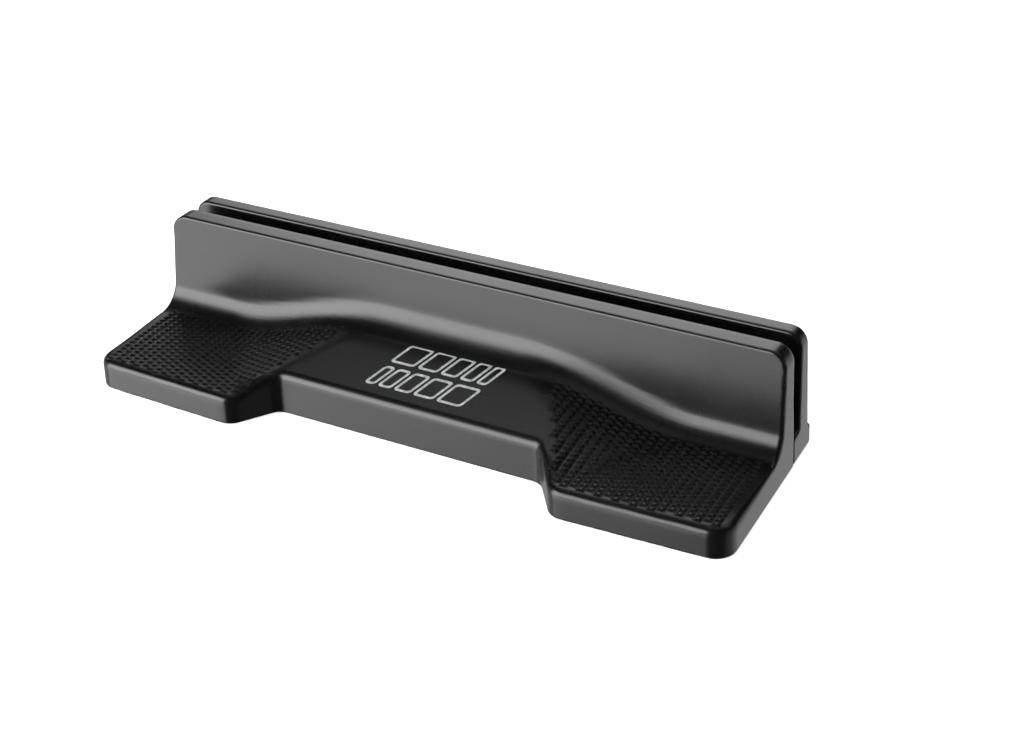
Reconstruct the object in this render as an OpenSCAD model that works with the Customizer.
// Bench sharpener for plastic ski-wax scrapers.
// A scraper stands in the slot between two tall guide walls and is pulled along a flat file
// that lies at the bottom of the slot. Two textured pads in front take the holding hand.
// +Z is up, X runs along the slot, and -Y is the side with the pads.

/* [Overall] */
// Length over the ends of the guide walls, at their top
guide_len = 200; // [190:1:210]
// Length over the ends at the bottom of the base
base_len = 204; // [200:1:214]
// Depth from the front of the feet to the rear flange
base_depth = 65; // [65:0.5:70]
// Height from the bench to the top of the guide walls
total_h = 39; // [36:0.5:44]

/* [Feet and notch] */
// Height of the pads above the bench
foot_h = 9.3; // [9:0.1:11]
// Gap under the plastic rim, which the rubber pads hold off the bench
rim_gap = 0.3; // [0.3:0.1:1]
// Depth of the notch between the feet
notch_depth = 12.9; // [11:0.1:14]
// Half the width of the notch at its back
notch_half = 42.8; // [40:0.1:46]
// Half the width of the notch at its mouth
mouth_half = 51.8; // [50:0.1:55]
// How far the inner corners of the feet stand ahead of the outer ones
toe_in = 1.7; // [0:0.1:2.5]
// Radius of the outer corners of the feet, seen from above
corner_r = 6.5; // [4:0.5:11]

/* [Centre plate] */
// Height of the front edge of the sloping centre plate
plate_h = 13.4; // [12:0.1:15]
// Rise of the centre plate for each millimetre towards the wall
plate_slope = 0.22; // [0.1:0.01:0.3]
// Radius of the hollow between the pads and the wall
root_r = 7; // [4:0.5:8]

/* [Guide walls] */
// Thickness of the front wall at its top
front_wall_top = 6.6; // [6:0.1:8]
// Thickness of the front wall at the height of the pads
front_wall_root = 9.3; // [9:0.1:11]
// Width of the slot at its floor
slot_floor_w = 4.7; // [4.6:0.1:5.4]
// Width of the slot at its mouth
slot_mouth_w = 5.6; // [5.5:0.1:6.2]
// Distance from the rear flange to the face that guides the scraper
guide_setback = 14.5; // [14.5:0.1:15]
// Thickness of the rear wall at its top
rear_wall_top = 5; // [4:0.1:5.2]
// Step of the flange behind the foot of the rear wall
flange_step = 2.4; // [2:0.1:3]
// Height of the rear flange
flange_h = 6.6; // [6:0.1:7.5]

/* [File] */
// Length of the file
file_len = 150; // [120:1:150]
// Width of the file
file_w = 16; // [14:0.5:16]
// Thickness of the file
file_t = 4; // [3:0.1:4]
// Height of the cutting face above the bench
file_top = 9.0; // [8.9:0.05:9.1]

/* [Base plate] */
// Thickness of the steel base plate
plate_t = 2; // [1.5:0.1:2.2]
// Distance of the plate's edge from the outer edge of the base
plate_inset = 3; // [2.8:0.1:4]

/* [Hidden] */

$fn = 32;
eps = 0.02;             // overlap that keeps cuts clean
far = 2 * base_len;     // longer than anything here
arc_steps = 8;          // straight pieces in one rounded corner

mouth_cut = 0.13;       // what the rounding takes off the inner front corners
front_y = -base_depth / 2 - mouth_cut;
back_y = base_depth / 2;
heel_y = front_y + toe_in;                  // outer front corners
recess_y = front_y + notch_depth;           // back of the notch
seam_y = back_y - guide_setback;            // guiding face, and the seam between the mouldings
root_y = seam_y - front_wall_root;          // foot of the front wall
crest_y = seam_y - front_wall_top;          // top edge of the front wall
wall_lean = (crest_y - root_y) / (total_h - foot_h);
top_corner_r = 5;       // ends of the guide walls, seen from the front
wall_foot = 0.5;        // the wall reaches this far into the hollow, to join it

skin = 2.6;             // thickness of the moulded walls
rib_t = 1.6;            // thickness of the ribs inside
plate_bottom = 1.2;     // the rubber pads are this thick
plate_top = plate_bottom + plate_t;
recess_clear = 0.2;     // gap round the base plate
slot_floor_h = file_top - 0.4;
core_w = 2.2;           // hollow inside the thick walls
core_cap = 8;           // solid part above the hollows in the front wall
rear_core_top = 19.5;   // top of the hollows in the rear wall
core_step = 17;         // spacing of the hollows along the walls
core_len = core_step - rib_t;

file_y = seam_y + slot_floor_w / 2;
pocket_clear = 0.2;
cushion_len = 146;
cushion_w = 12;

insert_r = 2.1;
insert_h = 4;
insert_bore_h = insert_h + 0.2;
boss_r = 4.2;
thread_r = 1.5;
screw_len = 5;
head_r = 2.9;
head_h = 1.4;
hole_r = 1.7;
recess_w = 0.6;         // cross recess in a screw's head
recess_len = 3;
recess_depth = 0.8;
front_screw_spots = [[92, -22], [60, -25], [28, -11], [84, 4]];
rear_screw_spots = [[83, 26.6], [95, 26.6]];

pin_r = 1.5;
pin_len = 12;
pin_x = 89.5;
pin_z = 6;

pad_len = 20;
pad_w = 10;
pad_r = 3;
pad_stick = 0.01;       // the pads are glued on, so they just enter the plate
front_pad_spot = [76, -22];
rear_pad_spot = [66, 24];

black = [0.07, 0.075, 0.078];
rubber = [0.03, 0.03, 0.03];
steel = [0.62, 0.63, 0.64];
zinc = [0.72, 0.73, 0.75];
brass = [0.78, 0.62, 0.3];

// ---- outlines ----

function unit(v) = v / norm(v);
function left_normal(a, b) = unit([a[1] - b[1], b[0] - a[0]]);

// Moves every edge of a closed outline inwards by d
function inset(points, d) =
    let (n = len(points))
    [for (i = [0 : n - 1])
        let (
            a = points[(i + n - 1) % n],
            b = points[i],
            c = points[(i + 1) % n],
            n1 = left_normal(a, b),
            n2 = left_normal(b, c)
        )
        b + (n1 + n2) * d / (1 + n1 * n2)];

// The arc that replaces corner b of the path a, b, c
function corner_arc(a, b, c, r) =
    let (
        u = unit(a - b),
        v = unit(c - b),
        half = acos(u * v) / 2,
        centre = b + unit(u + v) * r / sin(half),
        from = b + u * r / tan(half) - centre,
        to = b + v * r / tan(half) - centre,
        start = atan2(from[1], from[0]),
        turn = (atan2(to[1], to[0]) - start + 540) % 360 - 180
    )
    [for (i = [0 : arc_steps])
        centre + r * [cos(start + turn * i / arc_steps), sin(start + turn * i / arc_steps)]];

// A closed outline with each corner rounded by its own radius; 0 keeps it sharp
function rounded(points, radii) =
    let (n = len(points))
    [for (i = [0 : n - 1])
        each radii[i] == 0
            ? [points[i]]
            : corner_arc(points[(i + n - 1) % n], points[i], points[(i + 1) % n], radii[i])];

base_points = [
    [-base_len / 2, back_y], [-base_len / 2, heel_y], [-mouth_half, front_y], [-notch_half, recess_y],
    [notch_half, recess_y], [mouth_half, front_y], [base_len / 2, heel_y], [base_len / 2, back_y]
];
rear_corner_r = 1.5;
mouth_corner_r = 6;
recess_corner_r = 5;    // the only corners that turn the other way
min_corner_r = 1;

// The outline of the base, moved inwards by d
function base_outline(d) =
    let (
        outer = [for (r = [rear_corner_r, corner_r, mouth_corner_r]) max(r - d, min_corner_r)],
        turn = recess_corner_r + d
    )
    rounded(inset(base_points, d),
        [outer[0], outer[1], outer[2], turn, turn, outer[2], outer[1], outer[0]]);

// ---- the surface of the pads, the centre plate and the hollow below the wall ----

function smooth(t) =
    let (u = min(max(t, 0), 1))
    u * u * (3 - 2 * u);

// Height of the centre plate above the pads
function rise(y) =
    y < recess_y
        ? (plate_h - foot_h) * smooth((y - front_y) / notch_depth)
        : plate_h - foot_h + plate_slope * (y - recess_y);

edge_front = notch_half - 0.8;      // half width of the plate, at the notch; a little inside its corners
edge_rear = 23;                     // half width of the plate, at the wall
ramp_front = 59;                    // where the ramp meets the pad, at the notch
ramp_rear = 78;                     // where the ramp meets the pad, at the wall
function along(y) = (y - recess_y) / (root_y - recess_y);
function edge_x(y) = edge_front + (edge_rear - edge_front) * along(y);
ramp_min = 2;                       // least width of the ramp
function ramp_x(y) = max(ramp_front + (ramp_rear - ramp_front) * along(y), edge_x(y) + ramp_min);

function pad_z(x, y) =
    foot_h + rise(y) * (1 - smooth((abs(x) - edge_x(y)) / (ramp_x(y) - edge_x(y))));

// The hollow is an arc that leaves the pad level and meets the leaning wall without a kink
lean = atan(wall_lean);
function wall_y(z) = root_y + wall_lean * (z - foot_h);
function hollow_y(x) = wall_y(pad_z(x, root_y) + root_r) - root_r / cos(lean);
function hollow_point(x, a) =
    let (y = hollow_y(x) + root_r * sin(a))
    [x, y, pad_z(x, y) + root_r * (1 - cos(a))];

// The facets of that surface: finer along the ramps than near the ends
ramp_end = 82;
ramp_facet = 5;
end_facet = 8;
surface_end = base_len / 2 + 2;
surface_x = [
    for (x = [-surface_end : end_facet : -ramp_end - 2]) x,
    for (x = [-ramp_end : ramp_facet : ramp_end]) x,
    for (i = [2 : -1 : 0]) surface_end - i * end_facet
];
notch_facets = 3;
flat_facets = 3;
hollow_facets = 4;
function surface_row(x) = concat(
    [for (i = [0 : notch_facets]) let (y = front_y - 1 + i * notch_depth / (notch_facets + 1))
        [x, y, pad_z(x, y)]],
    [for (i = [0 : flat_facets]) let (y = recess_y + i * (hollow_y(x) - recess_y) / flat_facets)
        [x, y, pad_z(x, y)]],
    [for (i = [1 : hollow_facets]) hollow_point(x, (90 - lean) * i / hollow_facets)]
);

// Everything below the moulded top surface, back to the middle of the front wall
module top_surface() {
    floor_z = -1;
    back = seam_y - 1;
    nx = len(surface_x);
    ny = len(surface_row(0)) + 1;
    top = [for (x = surface_x)
        let (row = surface_row(x))
        each concat(row, [[x, back, row[ny - 2][2]]])];
    bottom = [for (p = top) [p[0], p[1], floor_z]];
    function at(i, j) = i * ny + j;
    lower = nx * ny;
    sheet = [for (i = [0 : nx - 2], j = [0 : ny - 2])
        each [[at(i, j), at(i, j + 1), at(i + 1, j + 1)], [at(i, j), at(i + 1, j + 1), at(i + 1, j)]]];
    under = [for (f = sheet) [lower + f[2], lower + f[1], lower + f[0]]];
    front = [for (i = [0 : nx - 2]) [at(i, 0), at(i + 1, 0), lower + at(i + 1, 0), lower + at(i, 0)]];
    rear = [for (i = [0 : nx - 2])
        [at(i + 1, ny - 1), at(i, ny - 1), lower + at(i, ny - 1), lower + at(i + 1, ny - 1)]];
    left = [for (j = [0 : ny - 2]) [at(0, j + 1), at(0, j), lower + at(0, j), lower + at(0, j + 1)]];
    right = [for (j = [0 : ny - 2])
        [at(nx - 1, j), at(nx - 1, j + 1), lower + at(nx - 1, j + 1), lower + at(nx - 1, j)]];
    polyhedron(concat(top, bottom), concat(sheet, under, front, rear, left, right));
}

// ---- shared shapes ----

// Turns an outline in Y and Z into a bar along X
module bar_x(points) {
    rotate([90, 0, 90]) linear_extrude(far, center = true) polygon(points);
}

// The leaning ends and the rounded top corners, seen from the front
module end_envelope() {
    points = [
        [-base_len / 2, 0], [base_len / 2, 0],
        [guide_len / 2, total_h], [-guide_len / 2, total_h]
    ];
    rotate([90, 0, 0])
        linear_extrude(far, center = true)
            polygon(rounded(points, [0, 0, top_corner_r, top_corner_r]));
}

module base_prism(d, low, high) {
    translate([0, 0, low]) linear_extrude(high - low) polygon(base_outline(d));
}

module base_plate_recess() {
    base_prism(plate_inset - recess_clear, rim_gap - 1, plate_top);
}

module file_pocket() {
    len = file_len + 2 * pocket_clear;
    w = file_w + 2 * pocket_clear;
    translate([-len / 2, file_y - w / 2, plate_top - eps]) cube([len, w, file_top - plate_top + eps]);
}

// Narrow hollows inside a wall, open towards the file pocket
module wall_cores(y, top) {
    for (i = [-4 : 4])
        translate([i * core_step - core_len / 2, y - core_w / 2, file_top - eps])
            cube([core_len, core_w, top - file_top]);
}

module at_both_sides(spots) {
    for (p = spots, side = [-1, 1]) translate([side * p[0], p[1], 0]) children();
}

module pin_bores() {
    for (side = [-1, 1])
        translate([side * pin_x, seam_y, pin_z])
            rotate([90, 0, 0]) cylinder(r = pin_r, h = pin_len, center = true);
}

module insert_bores(spots) {
    at_both_sides(spots) translate([0, 0, plate_top - eps]) cylinder(r = insert_r, h = insert_bore_h + eps);
}

// ---- front body ----

rows = 3;
cols = 12;
seam_wall = 7.6;        // solid part between the hollows and the seam
core_front = front_y + skin;
core_back = seam_y - seam_wall;
row_step = (core_back - core_front + rib_t) / rows;
col_step = (base_len - 2 * skin) / cols;

// Hollows between the ribs under the pads and the plate
module body_cores() {
    difference() {
        intersection() {
            base_prism(skin + rib_t, plate_top - eps, total_h);
            for (i = [0 : cols - 1], j = [0 : rows - 1]) {
                x0 = (i - cols / 2) * col_step + rib_t / 2;
                x1 = x0 + col_step - rib_t;
                y0 = core_front + j * row_step;
                y1 = y0 + row_step - rib_t;
                ceiling = min(pad_z(x0, y0), pad_z(x1, y0), pad_z(x0, y1), pad_z(x1, y1)) - skin;
                translate([x0, y0, plate_top - eps]) cube([x1 - x0, y1 - y0, ceiling - plate_top]);
            }
        }
        at_both_sides(front_screw_spots) cylinder(r = boss_r, h = total_h);
    }
}

module front_wall() {
    bar_x([
        [root_y - wall_foot, rim_gap], [seam_y, rim_gap], [seam_y, total_h],
        [crest_y, total_h], [root_y, foot_h], [root_y - wall_foot, foot_h]
    ]);
}

module front_body() {
    color(black)
    difference() {
        intersection() {
            union() {
                top_surface();
                front_wall();
            }
            base_prism(0, rim_gap, total_h + 1);
            end_envelope();
            translate([-far / 2, seam_y - far, 0]) cube([far, far, total_h + 1]);
        }
        base_plate_recess();
        file_pocket();
        body_cores();
        wall_cores(seam_y - skin - core_w / 2, total_h - core_cap);
        pin_bores();
        insert_bores(front_screw_spots);
    }
}

// ---- rear guide ----

module rear_guide() {
    floor_rise = 0.8;       // the slot's floor climbs towards the rear wall
    outer_edge_r = 0.7;
    slot_edge_r = 0.4;
    core_skin = 2.4;
    floor_y = seam_y + slot_floor_w;
    mouth_y = seam_y + slot_mouth_w;
    section = rounded([
        [seam_y, rim_gap], [back_y, rim_gap], [back_y, flange_h], [back_y - flange_step, flange_h],
        [mouth_y + rear_wall_top, total_h], [mouth_y, total_h],
        [floor_y, slot_floor_h + floor_rise], [seam_y, slot_floor_h]
    ], [0, 0, outer_edge_r, 0, outer_edge_r, slot_edge_r, 0, 0]);
    color(black)
    difference() {
        intersection() {
            bar_x(section);
            base_prism(0, rim_gap, total_h + 1);
            end_envelope();
        }
        base_plate_recess();
        file_pocket();
        wall_cores(floor_y + core_w / 2 + core_skin, rear_core_top);
        pin_bores();
        insert_bores(rear_screw_spots);
    }
}

// ---- file and its cushion ----

module file() {
    chamfer = 0.4;
    edge = file_w / 2;
    color(steel)
    intersection() {
        translate([0, file_y, 0]) bar_x([
            [-edge, file_top - file_t], [edge, file_top - file_t], [edge, file_top - chamfer],
            [edge - chamfer, file_top], [chamfer - edge, file_top], [-edge, file_top - chamfer]
        ]);
        translate([-file_len / 2, -far / 2, 0]) cube([file_len, far, total_h]);
    }
}

module file_cushion() {
    color(rubber)
    translate([-cushion_len / 2, file_y - cushion_w / 2, plate_top])
        cube([cushion_len, cushion_w, file_top - file_t - plate_top]);
}

// ---- base plate, screws, inserts and pins ----

module base_plate() {
    color(black)
    difference() {
        base_prism(plate_inset, plate_bottom, plate_top);
        at_both_sides(concat(front_screw_spots, rear_screw_spots)) {
            translate([0, 0, plate_bottom - 1]) cylinder(r = hole_r, h = plate_t + 2);
            translate([0, 0, plate_bottom - eps])
                cylinder(r1 = head_r + 0.1, r2 = hole_r, h = head_h);
        }
    }
}

module screw() {
    translate([0, 0, plate_bottom])
    difference() {
        union() {
            cylinder(r1 = head_r, r2 = thread_r, h = head_h);
            cylinder(r = thread_r, h = screw_len);
        }
        for (a = [0, 90])
            rotate([0, 0, a])
                translate([-recess_len / 2, -recess_w / 2, -eps])
                    cube([recess_len, recess_w, recess_depth + eps]);
    }
}

module insert() {
    translate([0, 0, plate_top])
    difference() {
        cylinder(r = insert_r, h = insert_h);
        translate([0, 0, -eps]) cylinder(r = thread_r, h = insert_h + 2 * eps);
    }
}

module front_screws() {
    color(zinc) at_both_sides(front_screw_spots) screw();
}

module rear_screws() {
    color(zinc) at_both_sides(rear_screw_spots) screw();
}

module front_inserts() {
    color(brass) at_both_sides(front_screw_spots) insert();
}

module rear_inserts() {
    color(brass) at_both_sides(rear_screw_spots) insert();
}

module locating_pins() {
    color(steel) pin_bores();
}

// ---- rubber pads ----

module rubber_pad(x, y) {
    corners = [
        [-pad_len / 2, -pad_w / 2], [pad_len / 2, -pad_w / 2],
        [pad_len / 2, pad_w / 2], [-pad_len / 2, pad_w / 2]
    ];
    color(rubber)
    translate([x, y, 0])
        linear_extrude(plate_bottom + pad_stick) polygon(rounded(corners, [pad_r, pad_r, pad_r, pad_r]));
}

module front_left_pad() {
    rubber_pad(-front_pad_spot[0], front_pad_spot[1]);
}

module front_right_pad() {
    rubber_pad(front_pad_spot[0], front_pad_spot[1]);
}

module rear_left_pad() {
    rubber_pad(-rear_pad_spot[0], rear_pad_spot[1]);
}

module rear_right_pad() {
    rubber_pad(rear_pad_spot[0], rear_pad_spot[1]);
}

front_body();
rear_guide();
file();
file_cushion();
base_plate();
front_screws();
rear_screws();
front_inserts();
rear_inserts();
locating_pins();
front_left_pad();
front_right_pad();
rear_left_pad();
rear_right_pad();
